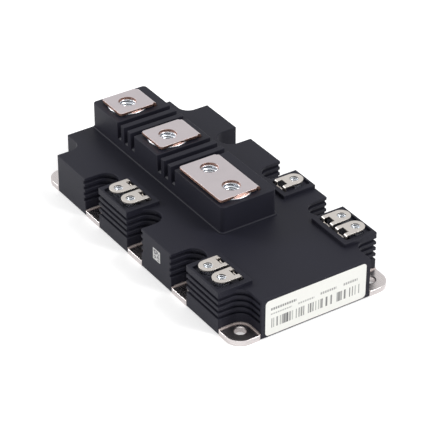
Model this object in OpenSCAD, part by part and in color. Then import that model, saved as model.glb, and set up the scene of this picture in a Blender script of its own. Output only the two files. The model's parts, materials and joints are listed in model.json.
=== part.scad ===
// Half-bridge IGBT power module: nickel-plated base plate, moulded housing with
// a slotted terminal tower, bent busbars, screw terminals and the power
// substrates inside. Millimetres. The origin is the centre of the base plate's
// bottom face, +X points to the short end that carries the label, +Z is up.

/* [Base plate] */
// Length of the base plate, along X
plate_l = 172; // [168:1:190]
// Width of the base plate, along Y
plate_w = 89; // [87:1:100]
// Thickness of the base plate
plate_t = 3; // [2.5:0.1:5]
// Spacing of the screw holes along a side
hole_pitch = 39; // [38.5:0.1:39.5]
// Spacing of the two rows of screw holes
hole_rows = 73; // [72:0.1:74]
// Diameter of a screw hole
hole_d = 5.5; // [4.5:0.1:6]
// Width of the chamfer round a screw hole
hole_chamfer = 0.4; // [0.2:0.05:0.8]
// Radius of the plate's corners
ear_r = 8; // [4:0.5:8]

/* [Housing] */
// Height of the housing's roof
roof_z = 21.6; // [20.5:0.1:22.4]
// Thickness of the roof
roof_t = 3; // [2:0.1:3.4]
// Thickness of the outer walls
wall_t = 3; // [2.6:0.1:3.2]
// Part of the wall that reaches down past the plate's edge
skirt_t = 1.5; // [1:0.1:1.8]
// Height of the skirt's lower edge
skirt_z = 0.4; // [0.2:0.1:1]
// Gap between the skirt and the plate's edge
skirt_gap = 0.2; // [0.1:0.05:0.4]
// Half width of a U-shaped screw well
well_r = 6.5; // [6:0.1:7]
// Half width of a corner recess
corner_r = 5.9; // [5.6:0.1:6.5]
// Thickness of the sealant under the walls
bead_t = 0.5; // [0.3:0.05:0.8]
// Width of the sealant that shows in the wells
bead_lip = 0.5; // [0.2:0.05:0.8]

/* [Creepage grooves] */
// Number of grooves one above the other
groove_n = 4; // [1:1:4]
// Height of the uppermost groove's middle
groove_top_z = 19.1; // [18.5:0.1:19.3]
// Distance from one groove to the next
groove_pitch = 3.3; // [2.6:0.1:3.6]
// Height of a groove
groove_h = 1.6; // [1:0.1:2]
// Depth of a groove
groove_depth = 1.2; // [0.6:0.1:1.4]

/* [Terminal tower] */
// Distance from the plate's centre to the tower's near end
tower_x1 = 31.4; // [30.5:0.1:32.5]
// Width of the tower, along Y
tower_w = 31; // [29.8:0.1:32]
// Height of the tower's top
tower_z = 35.8; // [35:0.1:37]
// Radius of the tower's upright edges
tower_r = 2; // [1:0.1:3]
// Width of the step round the tower's foot
foot_step = 0.8; // [0.4:0.1:1.2]
// Thickness of the tower's walls
tower_wall = 3; // [2.4:0.1:3.1]
// Height of the hollow under the tower's top
tower_hollow_z = 24.5; // [23.5:0.1:25]
// Width of a cross slot
slot_w = 3.1; // [2.6:0.1:3.2]
// Width of a rib between two cross slots
rib_w = 3.1; // [2.6:0.1:3.2]
// Height of the cross slots' floor
slot_floor_z = 27.6; // [27:0.1:29]
// Chamfer at the slots' lower outer edge
slot_chamfer = 1.4; // [0.8:0.1:2]
// Middle of the slots between the first and second terminal
gap_1_x = -54.1; // [-54.4:0.1:-53.8]
// Middle of the slots between the second and third terminal
gap_2_x = -17.2; // [-17.5:0.1:-16.9]

/* [Main terminals] */
// Height of the terminal plates' upper face
term_z = 38; // [37.6:0.1:39]
// Thickness of the terminal sheet
term_t = 1.4; // [1.2:0.1:1.6]
// Width of a single terminal plate, along X
term_w = 18.2; // [17:0.1:18.6]
// Width of the third terminal's plate, along X
term_3_w = 36; // [35.2:0.1:36.4]
// Corner radius of a terminal plate
term_r = 1.4; // [0.8:0.1:2]
// Clearance hole for an M8 screw
term_hole_d = 9; // [8.4:0.1:9.6]
// Distance from the plate's end to the first terminal's hole
term_1_end = 12.4; // [12.1:0.1:12.7]
// X of the second terminal's hole
term_2_x = -36; // [-36.2:0.1:-35.8]
// X of the middle of the third terminal's two holes
term_3_x = 10.3; // [10:0.1:10.6]
// Spacing of the third terminal's two holes
term_3_pitch = 18.8; // [18.4:0.1:19.2]
// Y of the main terminals' holes
term_y = -2.4; // [-2.8:0.1:-2]
// Distance from the first and second holes to those terminals' front edge
term_front = 9.6; // [9:0.1:10]
// Distance from the third terminal's holes to its front edge
term_3_front = 11.8; // [11.4:0.1:12.2]
// Distance from the first hole to that terminal's bend
term_1_back = 12.2; // [12:0.1:12.4]
// Distance from the second hole to that terminal's bend
term_2_back = 14.4; // [14.2:0.1:14.6]
// Distance from the third holes to that terminal's bend
term_3_back = 11.4; // [11:0.1:11.6]
// Inner radius of a bend
bend_r = 0.6; // [0.4:0.1:1]

/* [Main nuts] */
// Width across the flats of a main nut
nut_af = 13; // [12.8:0.1:13]
// Depth of a main nut below its flange
nut_h = 6.5; // [5:0.1:7]
// Diameter of a main nut's flange
flange_d = 20; // [18:0.1:20.8]
// Diameter of a main nut's thread
nut_bore_d = 6.8; // [6.4:0.1:7]
// Gap round a nut in its pocket, and from its flange to the bend
nut_gap = 0.15; // [0.1:0.05:0.25]
// Gap between the flanges of the third terminal's two nuts
flange_gap = 0.4; // [0.2:0.1:1]
// Lowest point that a main screw can reach
screw_z = 20.4; // [20:0.1:22]

/* [Auxiliary terminals] */
// Distance of the auxiliary holes from the middle, along Y
aux_y = 37.6; // [37.2:0.1:37.8]
// Spacing of two auxiliary terminals side by side
aux_pitch = 11; // [10.6:0.1:11.2]
// Width of an auxiliary tab
aux_w = 9; // [8.6:0.1:9.2]
// Thickness of an auxiliary tab
aux_t = 0.8; // [0.6:0.1:1]
// Height of the tabs' upper face
aux_z = 25.2; // [24.9:0.1:25.8]
// Clearance hole for an M4 screw
aux_hole_d = 4.5; // [4.3:0.1:5]
// Distance of the tabs' bend from the middle, along Y
aux_bend_y = 29; // [28.8:0.1:29.4]
// Width of the window at the bend
window_w = 4.5; // [3.6:0.1:5]
// Height of the blocks round the tabs
block_z = 23.5; // [23:0.1:23.9]
// Distance of the blocks' inner edge from the middle, along Y
block_y = 25.8; // [25.4:0.1:26.2]
// Width of the single block, along X
single_block_w = 16.5; // [16:0.1:18]
// Thickness of the rim round a block's tray
rim_w = 2.8; // [2.4:0.1:3]
// Depth of a block's tray
tray_depth = 1.2; // [0.8:0.1:1.4]
// Radius of a tray's corners
tray_r = 0.6; // [0.3:0.1:1.2]
// Width across the flats of an auxiliary nut
aux_nut_af = 7; // [6.8:0.1:7.2]
// Height of an auxiliary nut
aux_nut_h = 3.2; // [3:0.1:3.4]
// Diameter of an auxiliary nut's thread
aux_bore_d = 3.3; // [3.2:0.1:3.5]
// Lowest point that an auxiliary screw can reach
aux_screw_z = 14; // [12:0.5:16]

/* [Label] */
// Width of the label, along Y
label_w = 56.5; // [50:0.5:58]
// Height of the label
label_h = 19.2; // [17:0.1:19.6]
// Thickness of the label
label_t = 0.15; // [0.1:0.05:0.3]
// Radius of the label's corners
label_r = 2; // [1:0.5:3]
// Height of the label's lower edge
label_z = 1; // [0.6:0.1:1.4]

/* [Power circuit] */
// Length of a ceramic substrate, along X
ceramic_l = 34; // [33:0.1:34.6]
// Width of a ceramic substrate, along Y
ceramic_w = 53.6; // [53.2:0.1:53.8]
// Thickness of the ceramic
ceramic_t = 0.4; // [0.3:0.05:0.7]
// Thickness of the copper on both faces
copper_t = 0.3; // [0.2:0.05:0.4]
// Distance from the ceramic's edge to the copper
copper_margin = 0.5; // [0.4:0.1:0.8]
// Gap between two fields of copper
track_gap = 0.6; // [0.5:0.1:0.9]
// Side of a transistor chip
igbt_w = 9.5; // [8:0.1:9.5]
// Side of a diode chip
diode_w = 8; // [6:0.1:8.2]
// Thickness of the chips
chip_t = 0.3; // [0.2:0.05:0.4]
// Distance of the chips' middle from the middle, along Y
chip_y = 19.4; // [19.2:0.1:19.5]
// Distance from the copper's ends to the transistor chips
chip_margin = 1; // [0.6:0.1:1.4]
// Length of the temperature sensor
sensor_l = 3.2; // [2:0.1:3.4]
// Width of the temperature sensor
sensor_w = 1.6; // [1:0.1:1.8]
// Height of the temperature sensor
sensor_h = 0.9; // [0.5:0.1:1.2]

/* [Hidden] */
$fn = 64;
eps = 0.01;
over = 1;

// Places along X
bays = [for (i = [-1.5 : 1 : 1.5]) i * hole_pitch];
well_xs = [for (i = [-1 : 1]) i * hole_pitch];
corner_x = 2 * hole_pitch;
hole_y = hole_rows / 2;
half_l = plate_l / 2;
half_w = plate_w / 2;
tower_x0 = -half_l;
term_1_x = -half_l + term_1_end;

// Each well: X, side along Y, grooved or not
wells = [[-hole_pitch, -1, true], [0, -1, true], [hole_pitch, -1, true],
    [-hole_pitch, 1, false], [0, 1, true], [hole_pitch, 1, true]];
// Each corner recess: side along X, side along Y, grooved or not
corners = [[-1, -1, false], [1, -1, true], [-1, 1, false], [1, 1, true]];

// Each block of auxiliary terminals: low X, high X, side along Y, terminal Xs
pair_x0 = hole_pitch + well_r;
pair_x1 = corner_x - corner_r;
pair_mid = (pair_x0 + pair_x1) / 2;
left_x0 = -hole_pitch + well_r;
left_x1 = -well_r;
left_mid = (left_x0 + left_x1) / 2;
single_x1 = well_r + single_block_w;
single_mid = (well_r + single_x1) / 2;
blocks = [
    [left_x0, left_x1, -1, [left_mid - aux_pitch / 2, left_mid + aux_pitch / 2]],
    [pair_x0, pair_x1, -1, [pair_mid - aux_pitch / 2, pair_mid + aux_pitch / 2]],
    [well_r, single_x1, 1, [single_mid]],
    [pair_x0, pair_x1, 1, [pair_mid - aux_pitch / 2, pair_mid + aux_pitch / 2]]];
// Each auxiliary terminal: X and side along Y
aux = [for (b = blocks) for (x = b[3]) [x, b[2]]];

// Heights inside
bead_z = plate_t + bead_t;
hollow_z = roof_z - roof_t;
copper_bottom_z = plate_t;
ceramic_z = copper_bottom_z + copper_t;
copper_top_z = ceramic_z + ceramic_t;
chip_z = copper_top_z + copper_t;
tray_z = block_z - tray_depth;

// Main terminals, each as its middle and width along X, then its bend and
// front edge along Y
term_low_z = term_z - term_t;
bend_out = bend_r + term_t;
leg_margin = 1;
leg_gap = 0.25;
nut_xs = [term_1_x, term_2_x, term_3_x - term_3_pitch / 2, term_3_x + term_3_pitch / 2];
terms = [[term_1_x, term_w, term_y + term_1_back, term_y - term_front],
    [term_2_x, term_w, term_y + term_2_back, term_y - term_front],
    [term_3_x, term_3_w, term_y + term_3_back, term_y - term_3_front]];
column_r = 7;
column_floor = 1;

// Busbar rails inside
rail_z0 = 10;
rail_z1 = 14.5;
jog_z = 17.4;
output_y = -7.2;
foot_w = 6;
pad_l = 4.6;

// Auxiliary terminals
aux_low_z = aux_z - aux_t;
aux_bend_r = 0.4;
aux_slot_gap = 0.2;
aux_leg_w = 3;
aux_neck_z = roof_z - roof_t;
window_y = 3;
window_drop = 2.4;
aux_pad_l = 4.2;
aux_column_r = 4.2;

// Fields of copper, as [low Y, high Y]: output, negative and positive
field_edge = ceramic_w / 2 - copper_margin;
field_split = (terms[0][2] + terms[1][2] - term_t) / 2;
fields = [[-field_edge, -track_gap / 2], [track_gap / 2, field_split - track_gap / 2],
    [field_split + track_gap / 2, field_edge]];
chip_dx = ceramic_l / 2 - copper_margin - chip_margin - igbt_w / 2;

// Rounded rectangle from corner to corner
module rounded(x0, y0, x1, y1, r) {
    translate([x0 + r, y0]) square([x1 - x0 - 2 * r, y1 - y0]);
    translate([x0, y0 + r]) square([x1 - x0, y1 - y0 - 2 * r]);
    for (x = [x0 + r, x1 - r], y = [y0 + r, y1 - r]) translate([x, y]) circle(r);
}

// A U-shaped well round one screw hole, open to the long side
module well_2d(x, side, grow = 0) {
    r = well_r + grow;
    translate([x, side * hole_y]) circle(r);
    translate([x - r, side > 0 ? hole_y : -half_w - over])
        square([2 * r, half_w + over - hole_y]);
}

// The recess round one corner hole, open to both sides
module corner_2d(sx, sy, grow = 0) {
    r = corner_r + grow;
    reach_x = half_l + over - corner_x;
    reach_y = half_w + over - hole_y;
    translate([sx * corner_x, sy * hole_y]) {
        circle(r);
        translate([sx > 0 ? 0 : -reach_x, sy > 0 ? -r : -reach_y]) square([reach_x, r + reach_y]);
        translate([sx > 0 ? -r : -reach_x, sy > 0 ? 0 : -reach_y]) square([r + reach_x, reach_y]);
    }
}

// All wells and recesses at once
module wells_2d(grow = 0) {
    for (w = wells) well_2d(w[0], w[1], grow);
    for (c = corners) corner_2d(c[0], c[1], grow);
}

module holes_2d(d) {
    for (x = concat([-corner_x, corner_x], well_xs), y = [-hole_y, hole_y])
        translate([x, y]) circle(d = d);
}

// Plate outline: a core inside the skirt, with ears out to the full size
module plate_2d(grow = 0) {
    inset = skirt_t + skirt_gap;
    translate([-half_l + inset - grow, -half_w + inset - grow])
        square([plate_l - 2 * inset + 2 * grow, plate_w - 2 * inset + 2 * grow]);
    intersection() {
        rounded(-half_l, -half_w, half_l, half_w, ear_r);
        wells_2d(grow - skirt_gap);
    }
}

module plate_core_2d() {
    difference() {
        plate_2d();
        // The core's own corners follow the rounded outline
        difference() {
            square([plate_l + 2 * over, plate_w + 2 * over], center = true);
            rounded(-half_l, -half_w, half_l, half_w, ear_r);
        }
    }
}

// Inside of the housing, a wall's thickness in from every face
module hollow_2d() {
    difference() {
        square([plate_l - 2 * wall_t, plate_w - 2 * wall_t], center = true);
        wells_2d(wall_t);
    }
}

module tower_2d(grow = 0) {
    rounded(tower_x0, -tower_w / 2 - grow, tower_x1 + grow, tower_w / 2 + grow, tower_r);
}

// Bent sheet seen from the end: one arm along -X, one arm down, outer corner at 0
module elbow_2d(arm, drop, t, r) {
    out = r + t;
    translate([-arm, -t]) square([arm - out, t]);
    translate([-t, -drop]) square([t, drop - out]);
    translate([-out, -out]) intersection() {
        difference() {
            circle(out);
            circle(r);
        }
        square([out, out]);
    }
}

// Sheet of a given width along X, bent in the YZ plane, outer corner at [x, y, z]
module bent_sheet(x, y, z, w, arm, drop, t, r) {
    translate([x - w / 2, y, z]) rotate([90, 0, 90]) linear_extrude(w)
        elbow_2d(arm, drop, t, r);
}

module hex_prism(af, h) {
    cylinder(d = af / cos(30), h = h, $fn = 6);
}

module base_plate() {
    color([0.78, 0.77, 0.76]) difference() {
        linear_extrude(plate_t) difference() {
            plate_core_2d();
            holes_2d(hole_d);
        }
        for (x = concat([-corner_x, corner_x], well_xs), y = [-hole_y, hole_y])
            translate([x, y, plate_t - hole_chamfer])
                cylinder(d1 = hole_d, d2 = hole_d + 2 * hole_chamfer + 2 * eps, h = hole_chamfer + eps);
    }
}

module sealant_bead() {
    color([0.72, 0.70, 0.69]) translate([0, 0, plate_t]) linear_extrude(bead_t)
        difference() {
            plate_core_2d();
            wells_2d(-bead_lip);
            hollow_2d();
        }
}

// One level of creepage grooves: round the grooved wells and along the blocks
module groove_2d() {
    for (w = wells) if (w[2]) well_2d(w[0], w[1], groove_depth);
    for (c = corners) if (c[2]) intersection() {
        corner_2d(c[0], c[1], groove_depth);
        square([plate_l - 2 * groove_depth, 2 * plate_w], center = true);
    }
    for (b = blocks) translate([b[0] - eps, b[2] > 0 ? half_w - groove_depth : -half_w - over])
        square([b[1] - b[0] + 2 * eps, groove_depth + over]);
}

// The three slots and two ribs between two main terminals
module cross_slots(mid_x) {
    step = slot_w + rib_w;
    for (i = [-1 : 1]) translate([mid_x + i * step - slot_w / 2, 0, 0]) {
        translate([0, -tower_w / 2 - over, slot_floor_z])
            cube([slot_w, tower_w + 2 * over, tower_z - slot_floor_z + over]);
        for (side = [-1, 1]) translate([0, side * tower_w / 2, slot_floor_z])
            rotate([90, 0, 90]) linear_extrude(slot_w)
                polygon([[-side * slot_chamfer, eps], [side * eps, eps], [side * eps, -slot_chamfer]]);
    }
}

// A block's shallow tray
module tray(b) {
    y0 = b[2] > 0 ? block_y + rim_w : -half_w + rim_w / 2;
    y1 = b[2] > 0 ? half_w - rim_w / 2 : -block_y - rim_w;
    translate([0, 0, tray_z]) linear_extrude(tray_depth + over)
        rounded(b[0] + rim_w, y0, b[1] - rim_w, y1, tray_r);
}

module housing_body() {
    translate([0, 0, skirt_z]) linear_extrude(roof_z - skirt_z) difference() {
        square([plate_l, plate_w], center = true);
        wells_2d();
    }
    difference() {
        translate([0, 0, hollow_z]) linear_extrude(tower_z - hollow_z) tower_2d();
        cross_slots(gap_1_x);
        cross_slots(gap_2_x);
    }
    translate([0, 0, hollow_z]) linear_extrude(roof_t + foot_step) tower_2d(foot_step);
    for (b = blocks) translate([b[0], b[2] > 0 ? block_y : -half_w, hollow_z])
        cube([b[1] - b[0], half_w - block_y, block_z - hollow_z]);
}

module housing_hollow() {
    // Room for the plate and the sealant
    translate([0, 0, -over]) linear_extrude(bead_z + over) plate_2d(skirt_gap);
    translate([0, 0, bead_z - eps]) linear_extrude(hollow_z - bead_z + eps) hollow_2d();
    translate([0, 0, hollow_z - eps]) linear_extrude(tower_hollow_z - hollow_z + eps)
        translate([tower_x0 + tower_wall, -tower_w / 2 + tower_wall])
            square([tower_x1 - tower_x0 - 2 * tower_wall, tower_w - 2 * tower_wall]);
}

// Closed columns that take the ends of the terminal screws
module screw_columns() {
    for (x = nut_xs) translate([x, term_y, screw_z - column_floor])
        cylinder(r = column_r, h = tower_hollow_z - screw_z + column_floor + eps);
    for (a = aux) translate([a[0], a[1] * aux_y, aux_screw_z - column_floor])
        cylinder(r = aux_column_r, h = hollow_z - aux_screw_z + column_floor + eps);
}

module main_pockets() {
    for (x = nut_xs) translate([x, term_y, 0]) {
        translate([0, 0, tower_z - nut_h - nut_gap])
            hex_prism(nut_af + 2 * nut_gap, nut_h + nut_gap + over);
        translate([0, 0, screw_z]) cylinder(d = term_hole_d, h = tower_z - screw_z);
    }
    for (t = terms) translate([t[0] - t[1] / 2 + leg_margin - leg_gap,
            t[2] - term_t - leg_gap, tower_hollow_z - over])
        cube([t[1] - 2 * leg_margin + 2 * leg_gap, term_t + 2 * leg_gap,
            tower_z - tower_hollow_z + 2 * over]);
}

module aux_pockets() {
    for (a = aux) {
        translate([a[0], a[1] * aux_y, aux_low_z - aux_nut_h - nut_gap]) rotate(30)
            hex_prism(aux_nut_af + 2 * nut_gap, aux_nut_h + nut_gap + over);
        translate([a[0], a[1] * aux_y, aux_screw_z])
            cylinder(d = aux_hole_d, h = tray_z - aux_screw_z);
        translate([a[0] - aux_w / 2 - aux_slot_gap,
                a[1] > 0 ? aux_bend_y - aux_slot_gap : -aux_bend_y - aux_t - aux_slot_gap,
                hollow_z - over])
            cube([aux_w + 2 * aux_slot_gap, aux_t + 2 * aux_slot_gap, block_z - hollow_z + over]);
    }
}

module housing() {
    color([0.13, 0.13, 0.16]) difference() {
        union() {
            difference() {
                housing_body();
                housing_hollow();
            }
            screw_columns();
        }
        for (i = [0 : groove_n - 1])
            translate([0, 0, groove_top_z - i * groove_pitch - groove_h / 2])
                linear_extrude(groove_h) groove_2d();
        for (b = blocks) tray(b);
        main_pockets();
        aux_pockets();
        label_place() label_shape(over);
    }
}

module label_place() {
    translate([half_l - label_t, 0, label_z]) children();
}

// The label, or the shallow seat that it lies in
module label_shape(extra = 0) {
    rotate([90, 0, 90]) linear_extrude(label_t + extra)
        rounded(-label_w / 2, 0, label_w / 2, label_h, label_r);
}

module end_label() {
    color([0.93, 0.93, 0.93]) label_place() label_shape();
}

// Terminal plate with its holes and the bend down into the tower
module terminal_head(t, holes, drop) {
    difference() {
        union() {
            translate([0, 0, term_low_z]) linear_extrude(term_t)
                rounded(t[0] - t[1] / 2, t[3], t[0] + t[1] / 2, t[2] - bend_out, term_r);
            bent_sheet(t[0], t[2], term_z, t[1] - 2 * leg_margin, t[2] - term_y, drop, term_t, bend_r);
        }
        for (x = holes) translate([x, term_y, term_low_z - over])
            cylinder(d = term_hole_d, h = term_t + 2 * over);
    }
}

// Upright sheet along all four substrates from x0 on, with its back at y0.
// Its feet turn to +Y where dir is 1 and to -Y where dir is -1
module rail(x0, y0, dir, z1) {
    translate([x0, y0, rail_z0])
        cube([bays[3] + foot_w / 2 - x0, term_t, z1 - rail_z0]);
    for (x = bays) translate([x, dir > 0 ? y0 : y0 + term_t, chip_z])
        mirror([0, 0, 1]) mirror([0, dir > 0 ? 1 : 0, 0])
            bent_sheet(0, 0, 0, foot_w, pad_l, rail_z0 - chip_z + eps, term_t, bend_r);
}

module busbar_negative() {
    t = terms[0];
    color([0.80, 0.74, 0.72]) {
        terminal_head(t, [term_1_x], term_z - rail_z0);
        rail(t[0] - t[1] / 2 + leg_margin, t[2] - term_t, -1, rail_z1);
    }
}

module busbar_positive() {
    t = terms[1];
    color([0.80, 0.74, 0.72]) {
        terminal_head(t, [term_2_x], term_z - rail_z0);
        rail(bays[0] - foot_w / 2, t[2] - term_t, 1, rail_z1);
    }
}

module busbar_output() {
    t = terms[2];
    w = t[1] - 2 * leg_margin;
    color([0.80, 0.74, 0.72]) {
        terminal_head(t, [nut_xs[2], nut_xs[3]], term_z - jog_z + term_t);
        // Level stretch under the screw columns to the rail's side
        translate([t[0] - w / 2, output_y - term_t, jog_z - term_t])
            cube([w, t[2] - output_y + term_t, term_t]);
        rail(bays[0] - foot_w / 2, output_y - term_t, -1, jog_z);
    }
}

// Flanged nut that carries a main terminal plate. Its flange ends flat short
// of the sheet's bend, and short of its neighbour under the third terminal
module power_nut(i) {
    flange_t = term_low_z - tower_z;
    back = terms[min(i, 3) - 1][2] - bend_out - nut_gap - term_y;
    near = i > 2 ? (term_3_pitch - flange_gap) / 2 : flange_d;
    color([0.85, 0.85, 0.86]) translate([nut_xs[i - 1], term_y, tower_z])
        mirror([i == 4 ? 1 : 0, 0, 0]) difference() {
            union() {
                translate([0, 0, -nut_h]) hex_prism(nut_af, nut_h);
                linear_extrude(flange_t) intersection() {
                    circle(d = flange_d);
                    translate([-flange_d, -flange_d]) square([flange_d + near, flange_d + back]);
                }
            }
            translate([0, 0, -nut_h - over]) cylinder(d = nut_bore_d, h = nut_h + flange_t + 2 * over);
        }
}

// Bent tab with a round end, a screw hole and a window over the bend
module aux_terminal(i) {
    a = aux[i - 1];
    len = aux_y - aux_bend_y;
    out = aux_bend_r + aux_t;
    color([0.84, 0.81, 0.78]) translate([a[0], 0, 0]) mirror([0, a[1] > 0 ? 0 : 1, 0]) {
        difference() {
            union() {
                translate([0, aux_y, aux_low_z]) cylinder(d = aux_w, h = aux_t);
                mirror([0, 1, 0]) bent_sheet(0, -aux_bend_y, aux_z, aux_w, len,
                    aux_z - aux_neck_z, aux_t, aux_bend_r);
            }
            translate([0, aux_y, aux_low_z - over]) cylinder(d = aux_hole_d, h = aux_t + 2 * over);
            translate([-window_w / 2, aux_bend_y - over, aux_z - window_drop])
                cube([window_w, window_y + over, window_drop + over]);
        }
        // Narrow leg down to the copper, with its foot turned to the middle
        mirror([0, 0, 1]) translate([0, 0, -chip_z])
            bent_sheet(0, aux_bend_y + aux_t, 0, aux_leg_w, aux_pad_l,
                aux_neck_z - chip_z + eps, aux_t, aux_bend_r);
    }
}

module aux_nut(i) {
    a = aux[i - 1];
    color([0.86, 0.86, 0.85]) translate([a[0], a[1] * aux_y, aux_low_z - aux_nut_h]) difference() {
        rotate(30) hex_prism(aux_nut_af, aux_nut_h);
        translate([0, 0, -over]) cylinder(d = aux_bore_d, h = aux_nut_h + 2 * over);
    }
}

module copper_bottom(i) {
    color([0.78, 0.50, 0.35]) translate([bays[i - 1], 0, copper_bottom_z + copper_t / 2])
        cube([ceramic_l - 2 * copper_margin, ceramic_w - 2 * copper_margin, copper_t], center = true);
}

module substrate(i) {
    color([0.95, 0.95, 0.92]) translate([bays[i - 1], 0, ceramic_z + ceramic_t / 2])
        cube([ceramic_l, ceramic_w, ceramic_t], center = true);
}

// Three fields of copper: output, negative and positive
module copper_top(i) {
    l = ceramic_l - 2 * copper_margin;
    color([0.78, 0.50, 0.35]) for (f = fields)
        translate([bays[i - 1] - l / 2, f[0], copper_top_z]) cube([l, f[1] - f[0], copper_t]);
}

module chip(x, y, w) {
    translate([x - w / 2, y - w / 2, chip_z]) cube([w, w, chip_t]);
}

module igbt_chips(i) {
    color([0.45, 0.46, 0.50]) for (dx = [-chip_dx, chip_dx], y = [-chip_y, chip_y])
        chip(bays[i - 1] + dx, y, igbt_w);
}

module diode_chips(i) {
    color([0.55, 0.56, 0.58]) for (y = [-chip_y, chip_y]) chip(bays[i - 1], y, diode_w);
}

module thermistor() {
    color([0.25, 0.32, 0.28]) translate([bays[3] + chip_dx, (fields[1][0] + fields[1][1]) / 2, chip_z])
        linear_extrude(sensor_h) square([sensor_l, sensor_w], center = true);
}

base_plate();
sealant_bead();
housing();
end_label();
busbar_negative();
busbar_positive();
busbar_output();
for (i = [1 : 4]) power_nut(i);
for (i = [1 : 7]) aux_terminal(i);
for (i = [1 : 7]) aux_nut(i);
for (i = [1 : 4]) copper_bottom(i);
for (i = [1 : 4]) substrate(i);
for (i = [1 : 4]) copper_top(i);
for (i = [1 : 4]) igbt_chips(i);
for (i = [1 : 4]) diode_chips(i);
thermistor();
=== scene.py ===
"""Half-bridge IGBT power module: finishes, rounded edges, threads, label print and a white studio."""

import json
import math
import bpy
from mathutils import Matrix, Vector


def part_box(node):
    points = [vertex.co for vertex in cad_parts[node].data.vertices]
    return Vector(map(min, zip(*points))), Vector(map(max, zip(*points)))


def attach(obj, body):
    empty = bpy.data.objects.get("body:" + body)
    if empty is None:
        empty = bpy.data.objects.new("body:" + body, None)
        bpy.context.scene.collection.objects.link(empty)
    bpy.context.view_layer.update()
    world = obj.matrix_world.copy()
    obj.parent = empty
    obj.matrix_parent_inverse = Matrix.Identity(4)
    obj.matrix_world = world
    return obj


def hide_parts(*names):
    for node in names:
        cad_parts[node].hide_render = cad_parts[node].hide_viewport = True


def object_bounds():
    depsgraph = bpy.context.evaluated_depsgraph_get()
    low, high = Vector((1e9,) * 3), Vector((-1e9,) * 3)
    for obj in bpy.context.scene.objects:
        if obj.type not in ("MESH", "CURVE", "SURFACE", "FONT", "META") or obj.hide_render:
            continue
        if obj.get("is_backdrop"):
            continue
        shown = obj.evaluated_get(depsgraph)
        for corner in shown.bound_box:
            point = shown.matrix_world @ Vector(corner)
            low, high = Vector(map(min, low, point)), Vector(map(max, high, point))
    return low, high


bl_info = {
    "name": "IGBT module",
    "version": (1, 0, 0),
    "blender": (4, 5, 0),
    "location": "View3D > Sidebar > Module",
    "description": "Dresses a power module: moulded housing, plated sheets, threaded nuts and its label",
    "category": "Object",
}

import bmesh
import bpy
from bpy.props import FloatProperty, FloatVectorProperty, IntProperty, PointerProperty
from mathutils import Matrix, Vector

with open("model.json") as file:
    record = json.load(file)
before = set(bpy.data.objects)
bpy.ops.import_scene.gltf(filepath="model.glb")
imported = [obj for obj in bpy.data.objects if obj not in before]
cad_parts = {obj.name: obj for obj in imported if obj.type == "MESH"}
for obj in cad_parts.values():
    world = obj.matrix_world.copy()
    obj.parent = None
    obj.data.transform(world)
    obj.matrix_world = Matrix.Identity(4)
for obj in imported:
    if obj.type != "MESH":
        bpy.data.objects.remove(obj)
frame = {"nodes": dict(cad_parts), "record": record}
NODES = frame["nodes"]
CAD_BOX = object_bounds()
MM = 0.001

# An edge is rounded where its faces turn by more than this
SHARP_TURN = math.radians(35)
# Faces that turn by less than this are shaded as one curve
SMOOTH_TURN = math.radians(30)
# Faces that turn by less than this are one flat face
FLAT_TURN = math.radians(0.6)
# Vertices of a frame mesh that lie closer than this are one
SAME_PLACE = 0.001 * MM
# The step round the tower's foot: its height, and a width that takes in both its sides
FOOT_Z = 22.4 * MM
FOOT_REACH = 17 * MM


def named(prefix):
    """Names of the frame's nodes that start with a prefix, in order."""
    return sorted(name for name in NODES if name.startswith(prefix))


def length(name, description, default):
    """A size in millimetres that the user can change."""
    return FloatProperty(name=name, description=description, default=default, min=0.0)


def colour(name, description, default):
    """A linear colour that the user can change."""
    return FloatVectorProperty(
        name=name, description=description, default=default, size=3, min=0.0, max=1.0, subtype="COLOR"
    )


# ---------------------------------------------------------------- settings


class HousingSettings(bpy.types.PropertyGroup):
    edge_radius: length("Edge radius", "Radius of the moulding's outer edges, in millimetres", 0.36)
    foot_radius: length("Foot radius", "Radius of the bead round the tower's foot, in millimetres", 0.7)
    plastic: colour("Plastic", "Colour of the moulded plastic", (0.0128, 0.0128, 0.0200))
    # A lighter colour for the rounded outer edges: a painted highlight.
    plastic_edge_highlight: colour("Painted edge highlight", "Colour of the plastic on the outer edges", (0.17, 0.171, 0.195))
    grain: length("Grain", "Size of the moulded grain, in millimetres", 0.45)


class MetalSettings(bpy.types.PropertyGroup):
    plate_edge: length("Plate edge", "Radius of the base plate's edges, in millimetres", 0.25)
    sheet_edge: length("Sheet edge", "Radius of the main terminals' edges, in millimetres", 0.16)
    tab_edge: length("Tab edge", "Radius of the auxiliary tabs' edges, in millimetres", 0.1)
    nickel: colour("Nickel", "Colour of the nickel on the base plate", (0.60, 0.56, 0.555))
    bright_nickel: colour("Bright nickel", "Colour of the nickel on the main terminals", (0.53, 0.485, 0.50))
    warm_nickel: colour("Warm nickel", "Colour of the nickel on the auxiliary tabs", (0.60, 0.565, 0.53))
    # Bare copper darkened into painted shade, on the main terminals' upright faces.
    cut_copper_and_shade: colour("Cut copper and shade", "Colour of the sheets' cut edges", (0.30, 0.14, 0.085))
    zinc: colour("Zinc", "Colour of the nuts", (0.80, 0.83, 0.87))


class NutSettings(bpy.types.PropertyGroup):
    main_major: length("Main thread", "Outer diameter of the main nuts' thread, in millimetres", 8.0)
    main_pitch: length("Main pitch", "Pitch of the main nuts' thread, in millimetres", 1.25)
    aux_major: length("Auxiliary thread", "Outer diameter of the auxiliary nuts' thread, in millimetres", 4.0)
    aux_pitch: length("Auxiliary pitch", "Pitch of the auxiliary nuts' thread, in millimetres", 0.7)
    steps: IntProperty(name="Steps", description="Faces in one turn of a thread", default=32, min=12)


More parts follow.
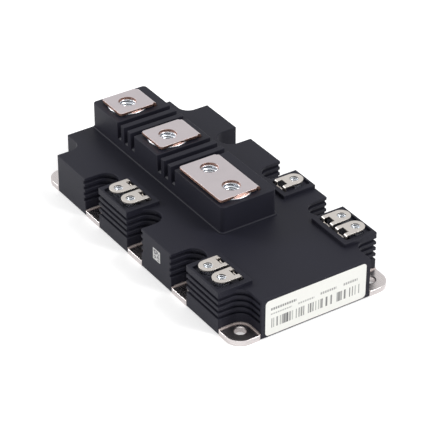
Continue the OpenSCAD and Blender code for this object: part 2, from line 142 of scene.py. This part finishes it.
class PrintSettings(bpy.types.PropertyGroup):
    bar_width: length("Bar width", "Width of the narrowest bar on the label, in millimetres", 0.52)
    bar_height: length("Bar height", "Height of the bars on the label, in millimetres", 5.2)
    bar_foot: length("Bar foot", "Height of the bars' feet over the label's lower edge, in millimetres", 3.8)
    side: length("Side", "Bare strip at both ends of the print, in millimetres", 3.0)
    paper: colour("Paper", "Colour of the label", (0.77, 0.77, 0.735))
    ink: colour("Ink", "Colour of the print", (0.05, 0.05, 0.055))
    mark_size: length("Mark size", "Side of the printed square on the housing, in millimetres", 6.2)
    mark_x: length("Mark X", "Place of the printed square along X, in millimetres", 20.0)
    mark_z: length("Mark Z", "Height of the printed square's middle, in millimetres", 14.0)


class StageSettings(bpy.types.PropertyGroup):
    azimuth: FloatProperty(name="Azimuth", default=math.radians(56.19), subtype="ANGLE",
                           description="Direction of the camera, from the -Y side towards the +X side")
    elevation: FloatProperty(name="Elevation", default=math.radians(33.58), subtype="ANGLE",
                             description="Height of the camera over the horizon")
    roll: FloatProperty(name="Roll", default=math.radians(0.24), subtype="ANGLE",
                        description="Turn of the camera about its own axis")
    distance: length("Distance", "Distance of the camera from its target, in millimetres", 1000.4)
    lens: length("Lens", "Focal length on a 36 mm sensor, in millimetres", 169.97)
    target: FloatVectorProperty(name="Target", description="Point the camera looks at, in millimetres",
                                default=(14.58, -4.15, 15.0), size=3)
    floor: colour("Floor", "Colour of the floor", (0.93, 0.93, 0.93))


# ---------------------------------------------------------------- shader maths


class Value:
    """A shader socket that adds Math nodes when it is used in an expression."""

    def __init__(self, finish, socket):
        self.finish = finish
        self.socket = socket

    def maths(self, operation, *terms):
        return self.finish.node("ShaderNodeMath", {"operation": operation}, dict(enumerate(terms)))

    def __add__(self, other):
        return self.maths("ADD", self, other)

    def __radd__(self, other):
        return self.maths("ADD", other, self)

    def __sub__(self, other):
        return self.maths("SUBTRACT", self, other)

    def __rsub__(self, other):
        return self.maths("SUBTRACT", other, self)

    def __mul__(self, other):
        return self.maths("MULTIPLY", self, other)

    def __rmul__(self, other):
        return self.maths("MULTIPLY", other, self)

    def __truediv__(self, other):
        return self.maths("DIVIDE", self, other)

    def __gt__(self, other):
        return self.maths("GREATER_THAN", self, other)

    def __lt__(self, other):
        return self.maths("LESS_THAN", self, other)

    def floor(self):
        return self.maths("FLOOR", self)

    def fraction(self):
        return self.maths("FRACT", self)

    def size(self):
        return self.maths("ABSOLUTE", self)

    def within(self, low, high):
        """1 between two limits and 0 outside."""
        return (self > low) * (self < high)


class Finish:
    """A material with one Principled shader, built up by node()."""

    def __init__(self, name, **settings):
        self.material = bpy.data.materials.new(name)
        self.material.use_nodes = True
        self.tree = self.material.node_tree
        self.shader = self.tree.nodes["Principled BSDF"]
        for key, value in settings.items():
            self.feed(self.shader.inputs[key.replace("_", " ").title().replace("Ior", "IOR")], value)

    def feed(self, socket, value):
        if isinstance(value, Value):
            self.tree.links.new(value.socket, socket)
        elif isinstance(value, (int, float)):
            socket.default_value = value
        elif len(value) == 3 and len(socket.default_value) == 4:
            socket.default_value = (*value, 1.0)
        else:
            socket.default_value = value

    def node(self, kind, settings, sockets, output=0):
        """Adds a node: its settings first, then the values or links of its sockets."""
        made = self.tree.nodes.new(kind)
        for key, value in settings.items():
            setattr(made, key, value)
        for key, value in sockets.items():
            self.feed(made.inputs[key], value)
        return Value(self, made.outputs[output])

    def place(self):
        """Object coordinates, in metres."""
        return self.node("ShaderNodeTexCoord", {}, {}, "Object")

    def axis(self, vector, name):
        return self.node("ShaderNodeSeparateXYZ", {}, {"Vector": vector}, name)

    def stretched(self, scale):
        """Object coordinates with each axis scaled, in repeats per metre."""
        return self.node("ShaderNodeMapping", {}, {"Vector": self.place(), "Scale": scale})

    def noise(self, scale, detail=2.0):
        """Noise from 0 to 1. The scale is one number, or one for each axis, in repeats per metre."""
        scale = (scale,) * 3 if isinstance(scale, (int, float)) else scale
        return self.node("ShaderNodeTexNoise", {}, {"Vector": self.stretched(scale), "Scale": 1.0,
                                                    "Detail": detail}, "Fac")

    def dice(self, value, seed):
        """A number from 0 to 1 that looks random and is the same for the same value."""
        vector = self.node("ShaderNodeCombineXYZ", {}, {"X": value, "Y": seed})
        return self.node("ShaderNodeTexWhiteNoise", {"noise_dimensions": "2D"}, {"Vector": vector}, "Value")

    def mix(self, factor, low, high):
        """A colour between two colours."""
        return self.node("ShaderNodeMix", {"data_type": "RGBA"}, {0: factor, 6: low, 7: high}, 2)

    def upright(self):
        """1 on faces that stand and 0 on faces that lie."""
        normal = self.node("ShaderNodeNewGeometry", {}, {}, "True Normal")
        return self.axis(normal, "Z").size() < 0.6

    def bump(self, height, distance, strength=1.0):
        """Raises the surface by a height from 0 to 1 times a distance in metres."""
        sockets = {"Height": height, "Distance": distance, "Strength": strength}
        normal = self.node("ShaderNodeBump", {}, sockets)
        self.feed(self.shader.inputs["Normal"], normal)

    def set(self, name, value):
        """Feeds one of the shader's own sockets."""
        self.feed(self.shader.inputs[name], value)


def tinted(colour_value, factor):
    """A colour made lighter or darker."""
    return tuple(min(1.0, channel * factor) for channel in colour_value)


def moulded_plastic(settings):
    finish = Finish("moulded_plastic", roughness=0.5)
    cloud = finish.noise(28.0, 3.0)
    grain = finish.noise(1000.0 / settings.grain, 2.0)
    darker, lighter = tinted(settings.plastic, 0.8), tinted(settings.plastic, 1.25)
    finish.set("Base Color", finish.mix(cloud, darker, lighter))
    finish.set("Roughness", 0.42 + cloud * 0.12 + grain * 0.06)
    finish.set("Specular IOR Level", 0.15)
    finish.bump(grain, 0.012 * MM)
    return finish.material


# Plastic for the rounded outer edges: its lighter colour is a painted highlight, and its extra gloss is the
# plastic's own.
def painted_highlight_plastic(settings):
    finish = Finish("painted_highlight_plastic", roughness=0.3)
    # A slow noise varies the painted highlight's colour.
    highlight_cloud = finish.noise(160.0, 3.0)
    finish.set("Base Color", finish.mix(highlight_cloud, tinted(settings.plastic_edge_highlight, 0.55),
                                        tinted(settings.plastic_edge_highlight, 1.3)))
    finish.set("Roughness", 0.26 + highlight_cloud * 0.14)
    finish.set("Specular IOR Level", 0.6)
    return finish.material


def rolled_nickel(settings):
    finish = Finish("rolled_nickel", metallic=1.0)
    cloud = finish.noise(45.0, 4.0)
    streaks = finish.noise((60.0, 2600.0, 2600.0), 2.0)
    darker, lighter = tinted(settings.nickel, 0.88), tinted(settings.nickel, 1.08)
    finish.set("Base Color", finish.mix(cloud, darker, lighter))
    finish.set("Roughness", 0.2 + cloud * 0.1 + streaks * 0.05)
    finish.bump(streaks, 0.002 * MM)
    return finish.material


def sheet_nickel(name, tint, copper, streak_axis):
    """Nickel on bent sheet. Its upright faces take the given dark colour: either bare copper where the sheet
    was cut, darkened into painted shade, or a darker copy of the nickel as painted shade.
    """
    finish = Finish(name, metallic=1.0)
    cloud = finish.noise(120.0, 3.0)
    scale = [2200.0, 2200.0, 2200.0]
    scale[streak_axis] = 90.0
    streaks = finish.noise(tuple(scale), 2.0)
    plated = finish.mix(cloud, tinted(tint, 0.93), tinted(tint, 1.05))
    # Upright faces take the dark colour at 0.8: bare copper darkened into painted shade, or darker nickel as
    # painted shade.
    finish.set("Base Color", finish.mix(finish.upright() * 0.8, plated, copper))
    finish.set("Roughness", 0.3 + cloud * 0.1 + streaks * 0.05)
    finish.bump(streaks, 0.0015 * MM)
    return finish.material


def zinc_plate(settings):
    finish = Finish("zinc_plate", metallic=1.0)
    cloud = finish.noise(350.0, 3.0)
    finish.set("Base Color", finish.mix(cloud, tinted(settings.zinc, 0.9), tinted(settings.zinc, 1.08)))
    finish.set("Roughness", 0.2 + cloud * 0.14)
    return finish.material


def silicone_sealant():
    finish = Finish("silicone_sealant", roughness=0.35)
    cloud = finish.noise(300.0, 2.0)
    finish.set("Base Color", finish.mix(cloud, (0.46, 0.39, 0.37), (0.60, 0.53, 0.51)))
    finish.bump(cloud, 0.05 * MM)
    return finish.material


def mottled(name, low, high, scale, roughness, metallic=0.0):
    """A plain finish with slow changes of colour and gloss."""
    finish = Finish(name, metallic=metallic)
    cloud = finish.noise(scale, 3.0)
    finish.set("Base Color", finish.mix(cloud, low, high))
    finish.set("Roughness", roughness + cloud * 0.1)
    finish.bump(cloud, 0.01 * MM)
    return finish.material


def printed_paper(settings, low, high):
    """White paper with a row of bars and rows of dashes in place of words."""
    finish = Finish("printed_paper", roughness=0.45)
    place = finish.place()
    across = finish.axis(place, "Y") / MM
    up = (finish.axis(place, "Z") - low.z) / MM
    y0, y1 = low.y / MM + settings.side, high.y / MM - settings.side
    cell = (across / settings.bar_width).floor()
    bar_top = settings.bar_foot + settings.bar_height
    bars = (finish.dice(cell, 3.0) > 0.52) * up.within(settings.bar_foot, bar_top)
    ink = bars * across.within(y0, y1) * (0.45 + finish.dice(cell, 11.0) * 0.5)
    # Rows of dashes: first and last Y, height over the label's foot, thickness, and darkness
    rows = (
        (y0, y0 + 14.0, 13.4, 1.3, 0.75),
        (y0, y0 + 11.5, 11.0, 0.8, 0.5),
        (y0 + 15.0, y0 + 24.0, 11.0, 1.0, 0.5),
        (y1 - 23.0, y1 - 14.0, 11.4, 1.3, 0.6),
        (y1 - 10.0, y1 - 2.0, 11.4, 1.3, 0.6),
    )
    dash_pitch, dash_share = 1.25, 0.72
    for left, right, height, thick, dark in rows:
        row = across.within(left, right) * up.within(height, height + thick)
        dashes = ((across - left) / dash_pitch).fraction() < dash_share
        ink = ink + row * dashes * dark
    grain = finish.noise(900.0, 2.0)
    paper = finish.mix(grain, tinted(settings.paper, 0.97), tinted(settings.paper, 1.02))
    finish.set("Base Color", finish.mix(ink, paper, settings.ink))
    finish.set("Roughness", 0.38 + grain * 0.12)
    return finish.material


def printed_square(settings, centre):
    """A pale printed square made of random cells inside a plain rim."""
    finish = Finish("printed_square", roughness=0.5)
    place = finish.place()
    across = (finish.axis(place, "X") - centre.x) / MM
    up = (finish.axis(place, "Z") - centre.z) / MM
    cell = settings.mark_size / 10
    reach = settings.mark_size * 0.4
    column = (across / cell).floor()
    row = (up / cell).floor()
    inside = (across.size() < reach) * (up.size() < reach)
    dark = (finish.dice(column + row * 17.0, 5.0) > 0.5) * inside
    finish.set("Base Color", finish.mix(dark, (0.50, 0.50, 0.49), (0.10, 0.10, 0.11)))
    return finish.material


# ---------------------------------------------------------------- modelling


def deselect():
    if bpy.context.object and bpy.context.object.mode != "OBJECT":
        bpy.ops.object.mode_set(mode="OBJECT")
    bpy.ops.object.select_all(action="DESELECT")


def make_active(piece):
    deselect()
    piece.select_set(True)
    bpy.context.view_layer.objects.active = piece


def finish_piece(piece, node, slot_name, *materials):
    """Puts a piece on the module's one body with its finish, in place of a frame node."""
    piece.data.materials.clear()
    for material in materials:
        piece.data.materials.append(material)
    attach(piece, "root")
    if node:
        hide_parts(node)


def copy_of(node, name):
    """A merged copy of a frame node's mesh, with its flat faces whole."""
    piece = bpy.data.objects.new(name, NODES[node].data.copy())
    bpy.context.scene.collection.objects.link(piece)
    make_active(piece)
    bpy.ops.mesh.customdata_custom_splitnormals_clear()
    bpy.ops.object.mode_set(mode="EDIT")
    bpy.ops.mesh.select_all(action="SELECT")
    bpy.ops.mesh.remove_doubles(threshold=SAME_PLACE)
    bpy.ops.mesh.dissolve_limited(angle_limit=FLAT_TURN)
    bpy.ops.object.mode_set(mode="OBJECT")
    return piece


def weigh_edges(piece, weigh):
    """Gives each sharp outer edge its share of the Bevel modifier's width, by the edge's middle."""
    work = bmesh.new()
    work.from_mesh(piece.data)
    weight = work.edges.layers.float.new("bevel_weight_edge")
    for edge in work.edges:
        if len(edge.link_faces) == 2 and edge.is_convex and edge.calc_face_angle() > SHARP_TURN:
            middle = (edge.verts[0].co + edge.verts[1].co) / 2
            edge[weight] = weigh(middle)
    work.to_mesh(piece.data)
    work.free()


def apply_modifier(piece, kind, **settings):
    modifier = piece.modifiers.new(kind.title(), kind)
    for key, value in settings.items():
        setattr(modifier, key, value)
    make_active(piece)
    bpy.ops.object.modifier_apply(modifier=modifier.name)


def round_edges(piece, radius, segments, edge_slot=-1, weigh=lambda middle: 1.0):
    """Rounds the outer edges. The new faces take the material in edge_slot."""
    weigh_edges(piece, weigh)
    make_active(piece)
    bpy.ops.object.shade_smooth_by_angle(angle=SMOOTH_TURN)
    apply_modifier(piece, "BEVEL", limit_method="WEIGHT", width=radius, segments=segments,
                   use_clamp_overlap=False, harden_normals=True, material=edge_slot)


def radius_of(name):
    """Radius of the bore that the record states for a nut."""
    for mount in frame["record"]["mounts"]:
        if mount["name"] == name:
            return mount["dims"]["r_mm"] * MM
    raise RuntimeError("the record has no mount named " + name)


def thread_ridge(core, major, pitch, low_z, high_z, centre, steps):
    """The helical ridge of an inner thread, from the bore's wall in to the core."""
    turns = max(1, math.floor((high_z - low_z) / pitch - 1))
    foot_z = low_z + (high_z - low_z - turns * pitch) / 2
    deselect()
    bpy.ops.mesh.primitive_plane_add(size=1.0)
    ridge = bpy.context.object
    # The ridge is an eighth of the pitch wide at its crest, seven eighths at its root in the wall
    crest, root = pitch / 16, pitch * 7 / 16
    root_radius = major + (major - core) * 0.1
    corners = [(core, -crest), (root_radius, -root), (root_radius, root), (core, crest)]
    order = sorted(ridge.data.vertices, key=lambda v: math.atan2(v.co.y, v.co.x))
    for vertex, (x, z) in zip(order, corners):
        vertex.co = (x, 0.0, z)
    make_active(ridge)
    bpy.ops.object.mode_set(mode="EDIT")
    bpy.ops.mesh.select_all(action="SELECT")
    bpy.ops.mesh.delete(type="ONLY_FACE")
    bpy.ops.object.mode_set(mode="OBJECT")
    apply_modifier(ridge, "SCREW", screw_offset=pitch, iterations=turns, steps=steps, render_steps=steps,
                   use_merge_vertices=False)
    ridge.data.transform(Matrix.Translation((centre.x, centre.y, foot_z)))
    make_active(ridge)
    bpy.ops.object.mode_set(mode="EDIT")
    bpy.ops.mesh.select_all(action="DESELECT")
    bpy.ops.mesh.select_non_manifold()
    bpy.ops.mesh.edge_face_add()
    bpy.ops.mesh.select_all(action="SELECT")
    bpy.ops.mesh.normals_make_consistent(inside=False)
    bpy.ops.object.mode_set(mode="OBJECT")
    return ridge


def threaded_nut(node, core, major, pitch, steps, edge):
    """A copy of a nut with its bore opened to the thread's outer diameter and a ridge set into it."""
    nut = copy_of(node, node + "_threaded")
    low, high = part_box(node)
    bore = (low + high) / 2
    mount = nearest_mount(low, high)
    bore.x, bore.y = mount.x, mount.y
    deselect()
    bpy.ops.mesh.primitive_cylinder_add(vertices=steps, radius=major, depth=(high.z - low.z) * 1.5,
                                        location=bore)
    cutter = bpy.context.object
    apply_modifier(nut, "BOOLEAN", operation="DIFFERENCE", object=cutter, solver="EXACT")
    bpy.data.objects.remove(cutter)
    round_edges(nut, edge, 2)
    ridge = thread_ridge(core, major, pitch, low.z, high.z, bore, steps)
    make_active(nut)
    ridge.select_set(True)
    bpy.ops.object.join()
    return nut


def nearest_mount(low, high):
    """Place of the threaded hole that lies inside a nut's box."""
    for mount in frame["record"]["mounts"]:
        place = Vector(mount["pos_m"])
        inside = all(low[i] < place[i] < high[i] for i in range(3))
        if mount["kind"] == "threaded_hole" and inside:
            return place
    raise RuntimeError("no threaded hole lies in this nut")


# ---------------------------------------------------------------- operators


class MODULE_OT_housing(bpy.types.Operator):
    """Round the housing's outer edges, give it its moulded plastic, and paint a highlight on the rounded
    edges
    """

    bl_idname = "module.housing"
    bl_label = "Housing"

    def execute(self, context):
        settings = context.scene.module_housing
        shell = copy_of("housing", "housing_shell")
        label_low, label_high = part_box("end_label")
        margin = 0.3 * MM
        usual = settings.edge_radius / settings.foot_radius

        def weigh(middle):
            """Nothing round the label's seat, the full radius at the tower's foot, and less elsewhere."""
            at_label = all(label_low[i] - margin < middle[i] < label_high[i] + margin for i in range(3))
            if at_label:
                return 0.0
            at_foot = abs(middle.z - FOOT_Z) < 0.2 * MM and abs(middle.y) < FOOT_REACH
            return 1.0 if at_foot else usual

        # The rounded faces take slot 1, the lighter plastic that paints a highlight on the edges.
        round_edges(shell, settings.foot_radius * MM, 3, 1, weigh)
        finish_piece(shell, "housing", "housing_plastic", moulded_plastic(settings),
                     painted_highlight_plastic(settings))
        return {"FINISHED"}


class MODULE_OT_base_plate(bpy.types.Operator):
    """Break the base plate's edges and give it its rolled nickel"""

    bl_idname = "module.base_plate"
    bl_label = "Base plate"

    def execute(self, context):
        settings = context.scene.module_metal
        plate = copy_of("base_plate", "plated_base")
        round_edges(plate, settings.plate_edge * MM, 2)
        finish_piece(plate, "base_plate", "nickel_plate", rolled_nickel(settings))
        return {"FINISHED"}


class MODULE_OT_terminals(bpy.types.Operator):
    """Break the edges of the main terminals and the auxiliary tabs, and plate them"""

    bl_idname = "module.terminals"
    bl_label = "Terminals"

    def execute(self, context):
        settings = context.scene.module_metal
        # The main terminals' upright faces take the cut copper, darkened into painted shade.
        main = sheet_nickel("terminal_nickel", settings.bright_nickel, settings.cut_copper_and_shade, 1)
        for node in named("busbar_"):
            sheet = copy_of(node, node + "_sheet")
            round_edges(sheet, settings.sheet_edge * MM, 2)
            finish_piece(sheet, node, "terminal_metal", main)
        # The tabs' upright faces take their nickel at 0.6 of its brightness: painted shade.
        tabs = sheet_nickel("tab_nickel", settings.warm_nickel, tinted(settings.warm_nickel, 0.6), 1)
        for node in named("aux_terminal_"):
            tab = copy_of(node, node + "_tab")
            round_edges(tab, settings.tab_edge * MM, 2)
            finish_piece(tab, node, "tab_metal", tabs)
        return {"FINISHED"}


class MODULE_OT_nuts(bpy.types.Operator):
    """Cut threads into the nuts and plate them with zinc"""

    bl_idname = "module.nuts"
    bl_label = "Nuts"

    def execute(self, context):
        settings = context.scene.module_nuts
        zinc = zinc_plate(context.scene.module_metal)
        kinds = (("power_nut_", "negative_thread", settings.main_major, settings.main_pitch, 0.25),
                 ("aux_nut_", "aux_thread_1", settings.aux_major, settings.aux_pitch, 0.15))
        for prefix, mount, major, pitch, edge in kinds:
            for node in named(prefix):
                nut = threaded_nut(node, radius_of(mount), major * MM / 2, pitch * MM,
                                   settings.steps, edge * MM)
                finish_piece(nut, node, "nut_steel", zinc)
        return {"FINISHED"}


class MODULE_OT_print(bpy.types.Operator):
    """Print the end label's bars, and the small square on the housing's long side"""

    bl_idname = "module.print"
    bl_label = "Print"

    def execute(self, context):
        settings = context.scene.module_print
        label_low, label_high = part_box("end_label")
        label = copy_of("end_label", "printed_label")
        round_edges(label, 0.04 * MM, 1)
        finish_piece(label, "end_label", "label", printed_paper(settings, label_low, label_high))
        wall_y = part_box("housing")[0].y
        centre = Vector((settings.mark_x * MM, wall_y, settings.mark_z * MM))
        deselect()
        bpy.ops.mesh.primitive_plane_add(size=settings.mark_size * MM, location=centre,
                                         rotation=(math.radians(90), 0, 0))
        mark = bpy.context.object
        mark.name = "printed_mark"
        bpy.ops.object.transform_apply(location=True, rotation=True, scale=True)
        apply_modifier(mark, "SOLIDIFY", thickness=0.04 * MM, offset=1.0)
        apply_modifier(mark, "BEVEL", width=0.01 * MM, segments=1)
        finish_piece(mark, None, "label", printed_square(settings, centre))
        return {"FINISHED"}


class MODULE_OT_inner_pieces(bpy.types.Operator):
    """Finish the sealant and the sealed pieces inside"""

    bl_idname = "module.inner_pieces"
    bl_label = "Inner pieces"

    def execute(self, context):
        copper = mottled("bonded_copper", (0.62, 0.30, 0.18), (0.78, 0.42, 0.27), 90.0, 0.3, 1.0)
        ceramic = mottled("white_ceramic", (0.78, 0.78, 0.74), (0.88, 0.88, 0.85), 60.0, 0.5)
        silicon = mottled("metallised_silicon", (0.40, 0.41, 0.44), (0.52, 0.53, 0.56), 150.0, 0.2, 1.0)
        sensor = mottled("sensor_body", (0.10, 0.17, 0.13), (0.16, 0.24, 0.19), 400.0, 0.4)
        finishes = {"sealant_bead": silicone_sealant(), "copper_": copper, "substrate_": ceramic,
                    "igbt_chips_": silicon, "diode_chips_": silicon, "thermistor": sensor}
        for prefix, material in finishes.items():
            for node in named(prefix):
                NODES[node].data.materials.clear()
                NODES[node].data.materials.append(material)
        return {"FINISHED"}


class MODULE_OT_stage(bpy.types.Operator):
    """Lay the floor and set the camera, the lamps and the white surroundings"""

    bl_idname = "module.stage"
    bl_label = "Stage"

    def execute(self, context):
        settings = context.scene.module_stage
        self.lay_floor(settings)
        self.set_camera(context.scene, settings)
        self.set_lamps()
        self.set_world(context.scene)
        context.scene.view_settings.view_transform = "Standard"
        return {"FINISHED"}

    def lay_floor(self, settings):
        """A plain floor that shows white and keeps the module's shadow."""
        deselect()
        bpy.ops.mesh.primitive_plane_add(size=6.0)
        floor = bpy.context.object
        floor.name = "floor"
        finish = Finish("pale_floor", roughness=0.9)
        paper = finish.noise(3.0, 1.0)
        finish.set("Base Color", finish.mix(paper, tinted(settings.floor, 0.995), settings.floor))
        finish.set("Specular IOR Level", 0.0)
        path = finish.tree.nodes.new("ShaderNodeLightPath")
        seen = sum((Value(finish, path.outputs[name]) for name in
                    ("Is Camera Ray", "Is Glossy Ray", "Is Transmission Ray")), 0.0)
        finish.set("Emission Color", finish.mix(seen, (0.0, 0.0, 0.0), (1.0, 1.0, 1.0)))
        finish.set("Emission Strength", 0.3)
        floor.data.materials.append(finish.material)
        floor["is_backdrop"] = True

    def set_camera(self, scene, settings):
        """A long lens that looks down along the module from its labelled end."""
        azimuth, elevation = settings.azimuth, settings.elevation
        back = Vector((math.sin(azimuth) * math.cos(elevation), -math.cos(azimuth) * math.cos(elevation),
                       math.sin(elevation)))
        level = Vector((math.cos(azimuth), math.sin(azimuth), 0.0))
        turn = Matrix.Rotation(settings.roll, 3, back)
        right = turn @ level
        up = back.cross(right)
        deselect()
        bpy.ops.object.camera_add()
        camera = bpy.context.object
        camera.matrix_world = Matrix((right, up, back)).transposed().to_4x4()
        camera.location = Vector(settings.target) * MM + back * settings.distance * MM
        camera.data.lens = settings.lens
        camera.data.sensor_width = 36.0
        camera.data.clip_start, camera.data.clip_end = 0.05, 20.0
        scene.camera = camera

    def set_lamps(self):
        """Soft boxes that face the module, each with its place, width and power."""
        boxes = (
            ("left", (-0.97, -0.77, 0.65), 0.5, 9.0),
            ("right", (0.77, 0.65, 0.97), 0.5, 11.0),
            ("front", (1.0, -0.9, 0.35), 0.6, 3.0),
        )
        for name, place, width, power in boxes:
            deselect()
            bpy.ops.object.light_add(type="AREA", location=place)
            lamp = bpy.context.object
            lamp.name = name + "_box"
            lamp.data.shape = "SQUARE"
            lamp.data.size = width
            lamp.data.energy = power
            lamp.rotation_euler = (-Vector(place)).to_track_quat("-Z", "Y").to_euler()

    def set_world(self, scene):
        """White where the camera and reflections see it, and a softer light on the module."""
        world = bpy.data.worlds.new("white_surroundings")
        world.use_nodes = True
        scene.world = world
        tree = world.node_tree
        background = tree.nodes["Background"]
        background.inputs["Color"].default_value = (1.0, 1.0, 1.0, 1.0)
        path = tree.nodes.new("ShaderNodeLightPath")
        ray = path.outputs["Is Camera Ray"]
        for name in ("Is Glossy Ray", "Is Transmission Ray"):
            joined = tree.nodes.new("ShaderNodeMath")
            joined.operation = "MAXIMUM"
            tree.links.new(ray, joined.inputs[0])
            tree.links.new(path.outputs[name], joined.inputs[1])
            ray = joined.outputs[0]
        level = tree.nodes.new("ShaderNodeMapRange")
        tree.links.new(ray, level.inputs["Value"])
        level.inputs["To Min"].default_value = 0.55
        level.inputs["To Max"].default_value = 1.0
        tree.links.new(level.outputs["Result"], background.inputs["Strength"])


class MODULE_PT_panel(bpy.types.Panel):
    """Buttons that dress the module"""

    bl_label = "IGBT module"
    bl_idname = "MODULE_PT_panel"
    bl_space_type = "VIEW_3D"
    bl_region_type = "UI"
    bl_category = "Module"

    def draw(self, context):
        for operator in OPERATORS:
            self.layout.operator(operator.bl_idname)
        for name in SETTINGS:
            box = self.layout.box()
            group = getattr(context.scene, name)
            for key in group.bl_rna.properties.keys():
                if key not in ("rna_type", "name"):
                    box.prop(group, key)


SETTINGS = {
    "module_housing": HousingSettings,
    "module_metal": MetalSettings,
    "module_nuts": NutSettings,
    "module_print": PrintSettings,
    "module_stage": StageSettings,
}
OPERATORS = (
    MODULE_OT_housing,
    MODULE_OT_base_plate,
    MODULE_OT_terminals,
    MODULE_OT_nuts,
    MODULE_OT_print,
    MODULE_OT_inner_pieces,
    MODULE_OT_stage,
)


def register():
    for cls in (*SETTINGS.values(), *OPERATORS, MODULE_PT_panel):
        bpy.utils.register_class(cls)
    for name, cls in SETTINGS.items():
        setattr(bpy.types.Scene, name, PointerProperty(type=cls))


def unregister():
    for name in SETTINGS:
        delattr(bpy.types.Scene, name)
    for cls in (MODULE_PT_panel, *reversed(OPERATORS), *reversed(list(SETTINGS.values()))):
        bpy.utils.unregister_class(cls)


def main():
    register()
    bpy.ops.module.housing()
    bpy.ops.module.base_plate()
    bpy.ops.module.terminals()
    bpy.ops.module.nuts()
    bpy.ops.module.print()
    bpy.ops.module.inner_pieces()
    bpy.ops.module.stage()
    bpy.context.view_layer.update()
    boxes = {"cad": CAD_BOX, "visual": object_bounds()}
    sizes = {name: [list(corner) for corner in box] for name, box in boxes.items()}


if __name__ == "__main__":
    main()
